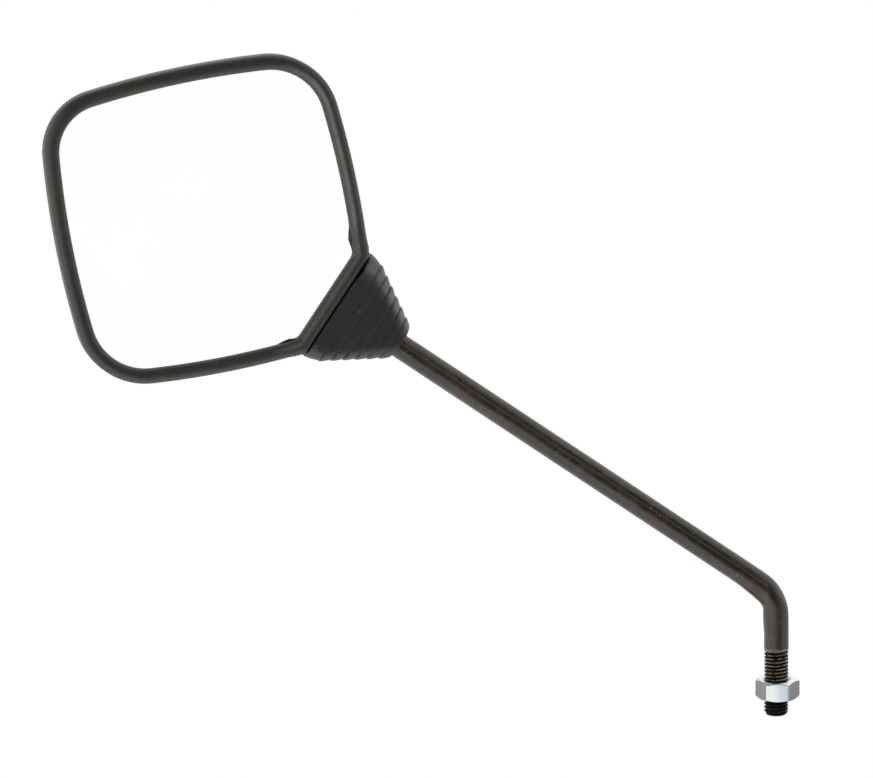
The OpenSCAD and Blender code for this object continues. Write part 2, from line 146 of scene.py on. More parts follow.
def arc(x, y, r, a, b, steps):
    """Points from a to b degrees about (x, y), without the last one."""
    return [(x + r * math.cos(math.radians(a + (b - a) * i / steps)),
             y + r * math.sin(math.radians(a + (b - a) * i / steps))) for i in range(steps)]


def head_outline(d, f, g, fine=2):
    """The head's outline set in by d, with radius f at the ends of the cut corner, itself set in by g."""
    k = BOW - HEAD_SIZE / 2
    m = k * math.sin(math.radians(45))
    big = BOW - d
    far_r, near_r = max(FAR_R - d, 3), max(NEAR_R - d, 3)
    far, near = ((math.sqrt(2 * (big - r) ** 2 - k * k) - k) / 2 for r in (far_r, near_r))
    far_turn, near_turn = (math.degrees(math.atan2(c, c + k)) for c in (far, near))
    fx = f + g - CUT
    fy = math.sqrt((big - f) ** 2 - (fx - m) ** 2) - m
    turn = math.degrees(math.atan2(fy + m, fx - m))
    pts = (
        arc(far * math.sqrt(2), 0, far_r, far_turn - 45, 45 - far_turn, 14 * fine)
        + arc(-m, -m, big, 45 - far_turn, 45 + near_turn, 8 * fine)
        + arc(0, near * math.sqrt(2), near_r, 45 + near_turn, 135 - near_turn, 14 * fine)
        + arc(m, -m, big, 135 - near_turn, turn, 10 * fine)
        + arc(fx, fy, f, turn, 180, 8 * fine)
    )
    top = (fx - f, fy)
    pts += [(top[0], top[1] * (1 - 2 * i / (6 * fine))) for i in range(6 * fine)]
    pts += (
        arc(fx, -fy, f, 180, 360 - turn, 8 * fine)
        + arc(m, m, big, 360 - turn, 225 + near_turn, 10 * fine)
        + arc(0, -near * math.sqrt(2), near_r, 225 + near_turn, 315 - near_turn, 14 * fine)
        + arc(-m, m, big, 315 - near_turn, 315 + far_turn, 8 * fine)
    )
    return [(x + BALL_GAP + CUT, y) for x, y in pts]


def soft_min(a, b, k):
    """The smaller of two values, rounded off where they are closer than k."""
    h = max(k - abs(a - b), 0.0) / k
    return min(a, b) - h * h * k / 4


def smooth(t):
    """0 up to t = 0, 1 from t = 1, and an even curve between."""
    t = min(max(t, 0.0), 1.0)
    return t * t * (3 - 2 * t)


def set_painted_light(obj, values):
    """Stores how much painted highlight the rubber has at each vertex; below zero it is painted shade."""
    obj.data.attributes.new("painted_light", "FLOAT", "POINT").data.foreach_set("value", values)


def bell(p, x, y, width):
    """1 at (x, y) and less all round."""
    return math.exp(-((p[0] - x) ** 2 + (p[1] - y) ** 2) / width ** 2)


# Material helpers
def bare_material(name):
    """A material with nothing but its output node."""
    mat = bpy.data.materials.new(name)
    mat.use_nodes = True
    nt = mat.node_tree
    nt.nodes.clear()
    return mat, nt, nt.nodes.new("ShaderNodeOutputMaterial")


def new_material(name):
    mat, nt, out = bare_material(name)
    bsdf = nt.nodes.new("ShaderNodeBsdfPrincipled")
    nt.links.new(bsdf.outputs[0], out.inputs[0])
    return mat, nt, bsdf


def ramp(nt, fac, stops):
    n = nt.nodes.new("ShaderNodeValToRGB")
    nt.links.new(fac, n.inputs[0])
    cr = n.color_ramp
    while len(cr.elements) < len(stops):
        cr.elements.new(0.5)
    for e, (pos, col) in zip(cr.elements, stops):
        e.position = pos
        e.color = (*col, 1)
    return n.outputs[0]


def coords(nt, scale=(1, 1, 1), rotation=(0, 0, 0)):
    tc = nt.nodes.new("ShaderNodeTexCoord")
    mp = nt.nodes.new("ShaderNodeMapping")
    mp.inputs["Scale"].default_value = scale
    mp.inputs["Rotation"].default_value = rotation
    nt.links.new(tc.outputs["Object"], mp.inputs[0])
    return mp.outputs[0]


def noise_fac(nt, vec, scale, detail, rough):
    n = nt.nodes.new("ShaderNodeTexNoise")
    nt.links.new(vec, n.inputs["Vector"])
    n.inputs["Scale"].default_value = scale
    n.inputs["Detail"].default_value = detail
    n.inputs["Roughness"].default_value = rough
    return n.outputs["Fac"]


def bump(nt, height, strength, distance, normal=None):
    n = nt.nodes.new("ShaderNodeBump")
    n.inputs["Strength"].default_value = strength
    n.inputs["Distance"].default_value = distance
    nt.links.new(height, n.inputs["Height"])
    if normal:
        nt.links.new(normal, n.inputs["Normal"])
    return n.outputs[0]


def maths(nt, op, a, b=None, clamp=False):
    n = nt.nodes.new("ShaderNodeMath")
    n.operation = op
    n.use_clamp = clamp
    for i, v in enumerate((a, b)):
        if v is None:
            continue
        if isinstance(v, bpy.types.NodeSocket):
            nt.links.new(v, n.inputs[i])
        else:
            n.inputs[i].default_value = v
    return n.outputs[0]


def mix_colour(nt, fac, a, b):
    n = nt.nodes.new("ShaderNodeMix")
    n.data_type = "RGBA"
    for sock, v in ((n.inputs[0], fac), (n.inputs[6], a), (n.inputs[7], b)):
        if isinstance(v, bpy.types.NodeSocket):
            nt.links.new(v, sock)
        else:
            sock.default_value = (*v, 1)
    return n.outputs[2]


def specks(nt, vec, scale, size, keep):
    """Small round specks: 1 inside a speck, 0 elsewhere; keep is the share of cells that have one."""
    v = nt.nodes.new("ShaderNodeTexVoronoi")
    nt.links.new(vec, v.inputs["Vector"])
    v.inputs["Scale"].default_value = scale
    near = maths(nt, "LESS_THAN", v.outputs["Distance"], size)
    sep = nt.nodes.new("ShaderNodeSeparateColor")
    nt.links.new(v.outputs["Color"], sep.inputs[0])
    few = maths(nt, "LESS_THAN", sep.outputs[0], keep)
    return maths(nt, "MULTIPLY", near, few)


def rubber(name, dark, light, rough, grain, dust, shine, pale):
    """Moulded rubber: fine grain, cloudy tone, painted highlight where the stored value is above zero and
    painted shade where it is below, and a few dust specks.
    """
    mat, nt, b = new_material(name)
    vec = coords(nt)
    cloud = noise_fac(nt, vec, 60, 4, 0.6)
    fine = noise_fac(nt, vec, 2600, 2, 0.6)
    col = ramp(nt, cloud, [(0.3, dark), (0.7, light)])
    # Painted highlight: the stored value mixes the colour towards the pale one, broken up in patches
    painted_light = nt.nodes.new("ShaderNodeAttribute")
    painted_light.attribute_name = "painted_light"
    patches = noise_fac(nt, vec, 480, 4, 0.65)
    patchy = ramp(nt, patches, [(0.30, (0.55, 0.55, 0.55)), (0.62, (1, 1, 1))])
    amount = maths(nt, "MULTIPLY", painted_light.outputs["Fac"], patchy, True)
    col = mix_colour(nt, amount, col, pale)
    # Painted shade: where the stored value is below zero the colour goes near black
    painted_shade = maths(nt, "MULTIPLY", painted_light.outputs["Fac"], -1.0, True)
    col = mix_colour(nt, painted_shade, col, (0.001, 0.001, 0.001))
    dots = specks(nt, vec, 700, 0.16, dust)
    hairs = specks(nt, coords(nt, (1, 3, 1), (0.4, 0.9, 0.2)), 300, 0.12, dust * 0.6)
    col = mix_colour(nt, maths(nt, "MULTIPLY", dots, 0.7), col, (0.30, 0.29, 0.26))
    col = mix_colour(nt, maths(nt, "MULTIPLY", hairs, 0.5), col, (0.22, 0.20, 0.17))
    nt.links.new(col, b.inputs["Base Color"])
    r = maths(nt, "ADD", maths(nt, "MULTIPLY", cloud, 0.16), rough - 0.08)
    nt.links.new(r, b.inputs["Roughness"])
    b.inputs["Specular IOR Level"].default_value = shine
    b.inputs["Specular Tint"].default_value = (1.0, 0.975, 0.94, 1.0)
    nt.links.new(bump(nt, fine, grain, 0.00012, bump(nt, cloud, 0.25, 0.0004)), b.inputs["Normal"])
    return mat


def drawn(nt, angle, stretch):
    """Object coordinates turned so that the rod runs along Z, and shrunk along it."""
    scale = nt.nodes.new("ShaderNodeMapping")
    scale.inputs["Scale"].default_value = (1, 1, stretch)
    nt.links.new(coords(nt, rotation=(0, angle, 0)), scale.inputs[0])
    return scale.outputs[0]


def black_rod():
    """Painted drawn steel: long drawing streaks, brown where the paint is thin, dust and fine pits."""
    mat, nt, b = new_material("rod_paint")
    vec = coords(nt)
    sep = nt.nodes.new("ShaderNodeSeparateXYZ")
    nt.links.new(vec, sep.inputs[0])
    on_arm = nt.nodes.new("ShaderNodeMapRange")
    on_arm.interpolation_type = "SMOOTHSTEP"
    nt.links.new(sep.outputs[0], on_arm.inputs[0])
    on_arm.inputs[1].default_value = -5 * MM
    on_arm.inputs[2].default_value = -14 * MM

    def streaks(scale, stretch):
        """Noise drawn out along the stem or, past the bend, along the arm."""
        parts = [noise_fac(nt, drawn(nt, angle, stretch), scale, 3, 0.6) for angle in (0, BEND_ANGLE)]
        up = maths(nt, "MULTIPLY", parts[0], maths(nt, "SUBTRACT", 1.0, on_arm.outputs[0]))
        return maths(nt, "ADD", up, maths(nt, "MULTIPLY", parts[1], on_arm.outputs[0]))

    long = streaks(330, 0.07)
    lines = streaks(1300, 0.05)
    blot = noise_fac(nt, vec, 230, 4, 0.65)
    fine = noise_fac(nt, vec, 1500, 3, 0.6)
    tone = maths(nt, "ADD", maths(nt, "MULTIPLY", long, 0.6), maths(nt, "MULTIPLY", blot, 0.4))
    black, warm, brown = (0.006, 0.006, 0.0055), (0.016, 0.013, 0.0095), (0.050, 0.036, 0.021)
    col = ramp(nt, tone, [(0.38, black), (0.50, warm), (0.64, brown)])
    dots = specks(nt, vec, 760, 0.15, 0.16)
    col = mix_colour(nt, maths(nt, "MULTIPLY", dots, 0.6), col, (0.34, 0.33, 0.29))
    nt.links.new(col, b.inputs["Base Color"])
    r = maths(nt, "ADD", maths(nt, "MULTIPLY", blot, 0.22), maths(nt, "MULTIPLY", fine, 0.10))
    nt.links.new(maths(nt, "ADD", r, 0.05), b.inputs["Roughness"])
    b.inputs["Specular IOR Level"].default_value = 0.85
    b.inputs["Specular Tint"].default_value = (1.0, 0.94, 0.86, 1.0)
    rough_skin = bump(nt, fine, 0.16, 0.00006, bump(nt, lines, 0.25, 0.00006))
    nt.links.new(bump(nt, long, 0.3, 0.0002, rough_skin), b.inputs["Normal"])
    return mat


def thread_steel():
    """The thread: black finish with bare, brownish crests and dark roots; below the nut's middle the crests
    stay almost black as painted shade of the nut.
    """
    mat, nt, b = new_material("thread_paint")
    vec = coords(nt)
    sep = nt.nodes.new("ShaderNodeSeparateXYZ")
    nt.links.new(vec, sep.inputs[0])
    x2 = maths(nt, "MULTIPLY", sep.outputs[0], sep.outputs[0])
    y2 = maths(nt, "MULTIPLY", sep.outputs[1], sep.outputs[1])
    rad = maths(nt, "SQRT", maths(nt, "ADD", x2, y2))
    crest = nt.nodes.new("ShaderNodeMapRange")
    nt.links.new(rad, crest.inputs[0])
    crest.inputs[1].default_value = (THREAD_R - 0.45) * MM
    crest.inputs[2].default_value = THREAD_R * MM
    wear = noise_fac(nt, vec, 420, 3, 0.6)
    bare = maths(nt, "MULTIPLY", crest.outputs[0], ramp(nt, wear, [(0.40, (0, 0, 0)), (0.62, (1, 1, 1))]))
    nut_middle = (NUT_REST + NUT_HEIGHT / 2) * MM
    # Painted shade below the nut: there the bare crests are cut to a twentieth
    unshaded_above_nut = maths(nt, "GREATER_THAN", sep.outputs[2], nut_middle)
    bare = maths(nt, "MULTIPLY", bare, maths(nt, "ADD", maths(nt, "MULTIPLY", unshaded_above_nut, 0.94), 0.05))
    col = mix_colour(nt, bare, (0.008, 0.0065, 0.006), (0.42, 0.36, 0.27))
    nt.links.new(col, b.inputs["Base Color"])
    b.inputs["Roughness"].default_value = 0.38
    b.inputs["Specular IOR Level"].default_value = 0.12
    nt.links.new(bare, b.inputs["Metallic"])
    nt.links.new(bump(nt, wear, 0.3, 0.0002), b.inputs["Normal"])
    return mat


def zinc(name, tint, rough):
    """Bare or plated steel, slightly cloudy and finely brushed."""
    mat, nt, b = new_material(name)
    vec = coords(nt)
    cloud = noise_fac(nt, vec, 160, 3, 0.55)
    fine = noise_fac(nt, coords(nt, (1, 1, 5)), 900, 3, 0.6)
    low = tuple(v * 0.93 for v in tint)
    nt.links.new(ramp(nt, cloud, [(0.35, low), (0.65, tint)]), b.inputs["Base Color"])
    b.inputs["Metallic"].default_value = 1.0
    nt.links.new(maths(nt, "ADD", maths(nt, "MULTIPLY", cloud, 0.14), rough - 0.07), b.inputs["Roughness"])
    nt.links.new(bump(nt, fine, 0.12, 0.00008, bump(nt, cloud, 0.2, 0.0002)), b.inputs["Normal"])
    return mat


def plain(name, colour, rough, scale=500, grain=0.2, spec=0.5):
    """Plastic or foam with a grain of the given scale."""
    mat, nt, b = new_material(name)
    vec = coords(nt)
    n1 = noise_fac(nt, vec, scale, 3, 0.6)
    n2 = noise_fac(nt, vec, 40, 3, 0.6)
    low = tuple(c * 0.85 for c in colour)
    nt.links.new(ramp(nt, n2, [(0.3, low), (0.7, colour)]), b.inputs["Base Color"])
    nt.links.new(maths(nt, "ADD", maths(nt, "MULTIPLY", n1, 0.12), rough - 0.06), b.inputs["Roughness"])
    b.inputs["Specular IOR Level"].default_value = spec
    nt.links.new(bump(nt, n1, grain, 0.0001), b.inputs["Normal"])
    return mat


def mirror_material():
    """Silvered glass: mirror in front, bare glass edge, grey backing paint behind."""
    mat, nt, b = new_material("mirror")
    axis = HEAD.to_3x3() @ Vector((0, 0, 1))
    axis.normalize()
    tc = nt.nodes.new("ShaderNodeTexCoord")
    dot = nt.nodes.new("ShaderNodeVectorMath")
    dot.operation = "DOT_PRODUCT"
    nt.links.new(tc.outputs["Normal"], dot.inputs[0])
    dot.inputs[1].default_value = axis
    front = maths(nt, "GREATER_THAN", dot.outputs["Value"], 0.7)
    back = maths(nt, "LESS_THAN", dot.outputs["Value"], -0.7)
    edge = mix_colour(nt, back, (0.10, 0.16, 0.14), (0.17, 0.17, 0.18))
    smear = noise_fac(nt, coords(nt), 25, 3, 0.5)
    silver = ramp(nt, smear, [(0.3, (0.982, 0.988, 0.988)), (0.7, (1.0, 1.0, 1.0))])
    nt.links.new(mix_colour(nt, front, edge, silver), b.inputs["Base Color"])
    nt.links.new(front, b.inputs["Metallic"])
    nt.links.new(maths(nt, "SUBTRACT", 0.35, maths(nt, "MULTIPLY", front, 0.35)), b.inputs["Roughness"])
    return mat


M_ROD = black_rod()
M_THREAD = thread_steel()
M_ZINC = zinc("zinc", (0.88, 0.90, 0.92), 0.12)
M_BRACKET = zinc("bracket_steel", (0.62, 0.63, 0.65), 0.36)
M_BALL = zinc("joint_steel", (0.55, 0.55, 0.56), 0.2)
# The last colour given to each rubber is the colour of its painted highlight
M_TRIM = rubber("trim_rubber", (0.011, 0.010, 0.008), (0.019, 0.017, 0.013), 0.40, 0.8, 0.03, 1.0,
                (0.15, 0.145, 0.13))
M_BOOT = rubber("boot_rubber", (0.011, 0.012, 0.0125), (0.018, 0.019, 0.0195), 0.36, 0.4, 0.06, 0.74,
                (0.105, 0.104, 0.108))
M_HOUSING = plain("housing_plastic", (0.022, 0.022, 0.022), 0.5, scale=2200, grain=0.8, spec=0.45)
M_SEAT = plain("seat_plastic", (0.82, 0.80, 0.74), 0.4)
M_FOAM = plain("foam", (0.05, 0.05, 0.055), 0.95, scale=1400, grain=1.0, spec=0.2)
M_MIRROR = mirror_material()

CAD_LOOKS = {
    "stem_ball": M_BALL, "lock_nut": M_ZINC, "housing_shell": M_HOUSING, "foam_pad": M_FOAM,
    "mirror_glass": M_MIRROR, "ball_seat_front": M_SEAT, "ball_seat_rear": M_SEAT,
    "clamp_plate": M_BRACKET, "clamp_bracket": M_BRACKET, "clamp_screws": M_ZINC,
    "clamp_washers": M_ZINC, "spring_washers": M_ZINC, "clamp_nuts": M_ZINC,
    "bracket_washers": M_ZINC, "bracket_screws": M_ZINC,
}
for name, mat in CAD_LOOKS.items():
    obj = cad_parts[name]
    for s in obj.material_slots:
        s.material = mat
    if not obj.material_slots:
        obj.data.materials.append(mat)


# The rod and its thread
def thread_radius(z, turn):
    """Radius of the thread at height z and angle share turn, with its lead-in and run-out."""
    phase = (z / PITCH - turn) % 1.0
    saw = abs(phase - 0.5) * 2
    depth = THREAD_DEPTH * min(max((saw - 0.12) / 0.70, 0.0), 1.0)
    fade = min(max((THREAD_LENGTH - z) / 1.2, 0.0), 1.0)
    r = THREAD_R - depth * fade
    tip_chamfer = THREAD_R + (z - 1.0) * 1.05
    return min(r, tip_chamfer)


def stem():
    """The rod in one skin: thread, burr, stem, bend, arm and neck."""
    cols = 72
    step = 0.125
    swell_end = 16
    loops = []
    z = 0.0
    while z < THREAD_LENGTH + 0.9:
        loop = []
        for j in range(cols):
            t = j / cols
            a = 2 * math.pi * t
            r = thread_radius(z, t) if z <= THREAD_LENGTH else ROD_R
            burr = math.exp(-((z - THREAD_LENGTH + 0.1) / 0.28) ** 2)
            wob = noise.noise(Vector((math.cos(a) * 2, math.sin(a) * 2, z)))
            r = max(r, (ROD_R + 0.16 + 0.14 * wob) * burr) if burr > 0.6 else r
            loop.append((r * math.cos(a), r * math.sin(a), z))
        loops.append(loop)
        z += step

    def ring(centre, beta, r, grow=None):
        """A circle about the rod where it leans by beta, grown by what grow gives for an angle."""
        cx, cz = centre
        out = []
        for j in range(cols):
            a = 2 * math.pi * j / cols
            rr = r + (grow(a) if grow else 0)
            x = rr * math.cos(a)
            out.append((cx + x * math.cos(beta), rr * math.sin(a), cz + x * math.sin(beta)))
        return out

    def bulge(s):
        """The swelling that the bending leaves on the inner side, s millimetres past the bend's start."""
        rise = math.exp(-((s + 0.5) / 6.0) ** 2) * 0.45 if s < 5 else 0.0
        amount = max(rise, 0.95 * math.exp(-((s - 12.5) / 6.5) ** 2))
        flat = -0.32 * math.exp(-((s - 7.0) / 7.0) ** 2)
        return lambda a: (amount * math.exp(-((abs(a - math.pi) / 0.8) ** 2))
                          + flat * math.exp(-((a if a < math.pi else a - 2 * math.pi) / 0.8) ** 2))

    run_in = 8
    for k in range(10):
        z = THREAD_LENGTH + 1.0 + (BEND_START - run_in - THREAD_LENGTH - 1.0) * k / 9
        loops.append(ring((0, z), 0, ROD_R))
    for k in range(1, 13):
        z = BEND_START - run_in + run_in * k / 12
        loops.append(ring((0, z), 0, ROD_R, bulge(z - BEND_START)))
    for k in range(1, 29):
        b = BEND_ANGLE * k / 28
        c = (-BEND_R * (1 - math.cos(b)), BEND_START + BEND_R * math.sin(b))
        loops.append(ring(c, b, ROD_R, bulge(b * BEND_R)))
    e = (-BEND_R * (1 - math.cos(BEND_ANGLE)), BEND_START + BEND_R * math.sin(BEND_ANGLE))
    d = (-math.sin(BEND_ANGLE), math.cos(BEND_ANGLE))
    straight = ARM - NECK_REACH - 1
    for k in range(1, 61):
        s = straight * k / 60
        grow = bulge(BEND_ANGLE * BEND_R + s) if s < swell_end else None
        loops.append(ring((e[0] + d[0] * s, e[1] + d[1] * s), BEND_ANGLE, ROD_R, grow))
    for s, r in ((straight + 1, NECK_R), (straight + 6, NECK_R), (ARM + 6.0, NECK_R)):
        loops.append(ring((e[0] + d[0] * s, e[1] + d[1] * s), BEND_ANGLE, r))
    verts, faces = lofted(loops)
    obj = piece("stem_skin", verts, faces, STEM, "stem", M_ROD, ("stem_rod",))
    obj.data.materials.append(M_THREAD)
    thread_end = (THREAD_LENGTH + 0.35) * MM
    for p in obj.data.polygons:
        if p.center.z < thread_end:
            p.material_index = 1
    return obj


# The lock nut
def lock_nut():
    """A hex nut with the arcs of its corner chamfers; only its outside is off the thread's axis."""
    cols = 192
    a = NUT_FLATS / 2
    face_r = 0.475 * NUT_FLATS
    bore = THREAD_R + 0.05
    lead = 0.06 * NUT_FLATS
    chamfer_slope = math.tan(math.radians(30))
    sixth = math.pi / 3

    def at(r, z, off=NUT_OFFSET):
        turns = [2 * math.pi * j / cols for j in range(cols)]
        radii = [r(t) if callable(r) else r for t in turns]
        return [(q * math.cos(t) + off, q * math.sin(t), NUT_REST + z) for q, t in zip(radii, turns)]

    def side(cone):
        """The hexagon with blunt corners, cut by the chamfer's cone."""
        def radius(t):
            hexagon = a / math.cos(abs(t % sixth - sixth / 2))
            return soft_min(soft_min(hexagon, NUT_CORNER_R, 0.35), cone, 0.22)
        return radius

    levels = []
    z = 0.0
    while z < NUT_HEIGHT + 1e-6:
        levels.append(z)
        z += 0.07 if min(z, NUT_HEIGHT - z) < 1.3 else 0.6
    if levels[-1] < NUT_HEIGHT:
        levels.append(NUT_HEIGHT)
    loops = [at(side(face_r + min(z, NUT_HEIGHT - z) / chamfer_slope), z) for z in levels]
    loops.append(at(face_r - 0.25, NUT_HEIGHT + 0.03))
    for r, z in ((bore + lead + 0.1, NUT_HEIGHT + 0.03), (bore + lead - 0.05, NUT_HEIGHT - 0.05),
                 (bore, NUT_HEIGHT - lead), (bore, lead),
                 (bore + lead - 0.05, 0.05), (bore + lead + 0.1, -0.03)):
        loops.append(at(r, z, 0))
    loops.append(at(face_r - 0.25, -0.03))
    verts, faces = lofted(loops, ring=True)
    return piece("lock_nut_skin", verts, faces, STEM, "nut", M_ZINC, ("lock_nut",))


# The rubber edge. The marks beside the cut corner are x, y and width of a bell, in the head's frame.
OUTER_BUMPS = ((12.2, -27.2, 2.6), (11.5, 25.8, 2.4))
BUMP_RISE = 0.55
# Painted shade wedges beside the cut corner: x, y, width of a bell and how far the loop on the glass
# reaches in; that loop is painted near black
SHADE_WEDGES = ((20.3, -25.2, 3.6, 1.25), (19.0, 23.2, 2.6, 1.15))


def edge_trim():
    """The ring's section, from the back over the bead to the glass, swept round the head's outline."""
    fine = 2
    half = TRIM_WIDTH / 2
    foot = 8.0
    lip = 2.3
    section = [(0.7, TRIM_BACK), (0.25, TRIM_BACK + 0.2), (0.02, TRIM_BACK + 0.8), (0.0, 8.0), (0.0, 10.0)]
    steps = 20
    for i in range(steps + 1):
        t = math.pi * (1 - i / steps)
        section.append((half + half * math.cos(t), GLASS_FRONT + BEAD * math.sin(t) ** 0.92))
    wedge = len(section)
    section += [(TRIM_WIDTH + 0.001, GLASS_FRONT + 0.045),
                (TRIM_WIDTH - 0.15, GLASS_FRONT + 0.03), (4.0, GLASS_FRONT + 0.01), (2.35, GLASS_FRONT),
                (lip, 10.0), (lip, LIP_BACK), (foot, LIP_BACK), (foot + 0.1, 7.0),
                (foot, TRIM_BACK + 0.6), (foot - 0.6, TRIM_BACK)]
    loops, painted_light = [], []
    for i, (d, h) in enumerate(section):
        here = head_outline(d, 3 + d / 2, d, fine)
        inward = head_outline(d + 1, 3.5 + d / 2, d + 1, fine)
        ridge = math.exp(-((d - 4.0) / 0.85) ** 2)
        loop = []
        for p, q in zip(here, inward):
            shift = 0.0
            if d < 1.5:
                shift = -BUMP_RISE * sum(bell(p, x, y, width) for x, y, width in OUTER_BUMPS)
            if i == wedge:
                shift = sum(reach * bell(p, x, y, width) for x, y, width, reach in SHADE_WEDGES)
            x, y = p[0] + (q[0] - p[0]) * shift, p[1] + (q[1] - p[1]) * shift
            loop.append((x, y, h))
            # Painted highlight lies on the bead of the right member and, less, along the cut corner; the
            # wedge loop gets painted shade
            on_right = smooth((-y - 6) / 10) * smooth((62 - x + 0.6 * (-y - 26)) / 22)
            on_cut = smooth((17.5 + TRIM_WIDTH - x) / 6)
            amount = ridge * max(0.95 * on_right * (1 - on_cut), 0.45 * on_cut)
            painted_light.append(-1.0 if i == wedge else amount if 0 < i < wedge else 0.0)
        loops.append(loop)
    verts, faces = lofted(loops, ring=True)
    obj = piece("edge_trim_skin", verts, faces, HEAD, "head", M_TRIM, ("edge_trim",))
    set_painted_light(obj, painted_light)
    return obj


# The boot, whose x runs from the arm to the head
BOOT_BASE = BALL_GAP - BOOT_GAP
GROOVE = BOOT_BASE - PLAIN_BAND
BOOT_END = BOOT_BASE - BOOT_LENGTH
BAND = (GROOVE - BOOT_END) / (BANDS - 1)
LOOP_POINTS = 56


def boot_loop(x, y, a, b, r):
    """A rounded rectangle about (y, 0) with half sides a and b, with more points on its long sides."""
    c = min(r, a - 0.3, b - 0.3)
    out = []
    per = LOOP_POINTS // 4
    for q in range(4):
        sy = 1 if q in (0, 3) else -1
        sz = 1 if q < 2 else -1
        for i in range(per):
            t = math.radians(90 * (q + i / (per - 1)))
            out.append((x, y + sy * (a - c) + c * math.cos(t), sz * (b - c) + c * math.sin(t)))
    dense = []
    for i, p in enumerate(out):
        q = out[(i + 1) % len(out)]
        dense.append(p)
        if (i + 1) % per == 0:
            count = 18 if (i + 1) // per % 2 else 6
            for k in range(1, count):
                dense.append(tuple(p[m] + (q[m] - p[m]) * k / count for m in range(3)))
    return dense


def taper(start, end, s):
    return start * (1 - s) + end * s


def boot_section(x, e):
    """The boot's section at x, e over its taper at the sides and less on the flat faces."""
    s = max(GROOVE - x, 0) / (GROOVE - BOOT_END)
    flare = max(x - GROOVE, 0) / PLAIN_BAND
    shrink = 2.4 * (1 - flare)
    half_w = taper((BOOT_WIDTH - shrink) / 2, BOOT_END_R, s)
    half_d = taper((BOOT_DEPTH - shrink) / 2, BOOT_END_R, s)
    corner = taper(BOOT_CORNER, BOOT_END_R, s)
    middle = -BOOT_LEAN * s
    full = boot_loop(x, middle, half_w + e, half_d + e, corner + e)
    if e < -1:
        return full
    bare = boot_loop(x, middle, half_w, half_d, corner)
    out = []
    for p, q in zip(full, bare):
        side = (q[1] - middle) / half_w
        k = 0.22 + 0.78 * smooth((abs(side) - (0.50 if side < 0 else 0.62)) / 0.30)
        # At one place the first band stands off the rubber edge
        open_up = 0.0
        if q[2] > 0 and x > GROOVE:
            open_up = 1.1 * math.exp(-((q[1] + 17.2) / 3.2) ** 2) * smooth((x - GROOVE) / PLAIN_BAND)
        out.append((q[0] - open_up, q[1] + (p[1] - q[1]) * k, q[2] + (p[2] - q[2]) * k))
    return out


def band_profile(near, far, first, last):
    """Distance along the arm and height over the taper, from a band's head side to its arm side."""
    pts = ([(0.0, -0.1), (0.03, 0.25), (0.08, 0.36)] if first else
           [(0.0, -0.55), (0.05, -0.30), (0.09, 0.10), (0.14, 0.34), (0.21, 0.44), (0.30, 0.46)])
    pts += [(0.45, 0.38), (0.60, 0.26), (0.75, 0.13)]
    pts += ([(0.84, 0.02), (0.92, -0.25), (0.97, -0.7), (1.0, -1.4)] if last else
            [(0.86, 0.02), (0.93, -0.10), (0.98, -0.35)])
    return [(near - (near - far) * t, e) for t, e in pts]


def boot_painted_highlight(loops):
    """Painted highlight along the boot's upper edge and less along its lower one."""
    values = []
    for loop in loops:
        s = min(max(GROOVE - loop[0][0], 0) / (GROOVE - BOOT_END), 1)
        for p in loop:
            side = (p[1] + BOOT_LEAN * s) / taper(24.5, BOOT_END_R, s)
            upper = math.exp(-((side + 0.80) / 0.11) ** 2) + 0.25 * smooth((-side - 0.8) / 0.2)
            values.append(upper + 0.40 * smooth((side - 0.78) / 0.2))
    return values


def boot():
    """Two lapped parts: the first holds the bands nearest the head, the other those towards the arm."""
    bands = []
    for k in range(BANDS):
        near = BOOT_BASE if k == 0 else GROOVE - (k - 1) * BAND
        far = GROOVE - k * BAND
        bands.append(band_profile(near, far, k == 0, k == BANDS - 1))
    split = 3
    split_at = HEAD @ Vector((GROOVE - (split - 1) * BAND, 0, 0))
    arm_side = HEAD @ Vector((BOOT_END + 5, 0, 0))
    head_side = HEAD @ Vector((BOOT_BASE - 2, 0, 0))
    bore = ROD_R + 0.3
    for name, chosen, bodies, lo, hi in (
        ("boot_head_part", bands[:split], ("seats", "head"), split_at, head_side),
        ("boot_arm_part", bands[split:], ("boot", "seats"), arm_side, split_at),
    ):
        outer = [p for band in chosen for p in band]
        x0, x1 = outer[0][0], outer[-1][0]
        loops = [boot_section(x, e) for x, e in outer]
        if name == "boot_head_part":
            lap = [(x1 - 0.2, -0.9), (x1 - 1.6, -0.95), (x1 - 1.6, -BOOT_WALL)]
            inner = lap + [(GROOVE, -BOOT_WALL), (x0 + 0.15, -BOOT_WALL)]
            loops += [boot_section(x, e) for x, e in inner]
        else:
            loops += [boot_loop(x, 0, bore, bore, bore) for x in (x1 + 0.05, x1 + 3.8)]
            loops += [boot_section(x, -BOOT_WALL) for x in (x1 + 4.4, x0)]
        verts, faces = lofted(loops, ring=True)
        obj = piece(name, verts, faces, HEAD, None, M_BOOT, ("boot",))
        # Painted highlight along the boot's upper and lower edges, stored for its material
        set_painted_light(obj, boot_painted_highlight(loops))
        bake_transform(obj)


stem()
lock_nut()
edge_trim()
boot()


# Floor, world, lamps and camera. The view is square to X and looks down by the elevation.
ELEVATION = math.radians(16.1)
FRONT_WAY = Vector((0, -math.cos(ELEVATION), math.sin(ELEVATION)))
UP_WAY = Vector((0, math.sin(ELEVATION), math.cos(ELEVATION)))


def way(angle, side, up):
    """A direction so many degrees from the front, towards a side and up."""
    a = math.radians(angle)
    aside = (Vector((side, 0, 0)) + UP_WAY * up).normalized()
    return (FRONT_WAY * math.cos(a) + aside * math.sin(a)).normalized()


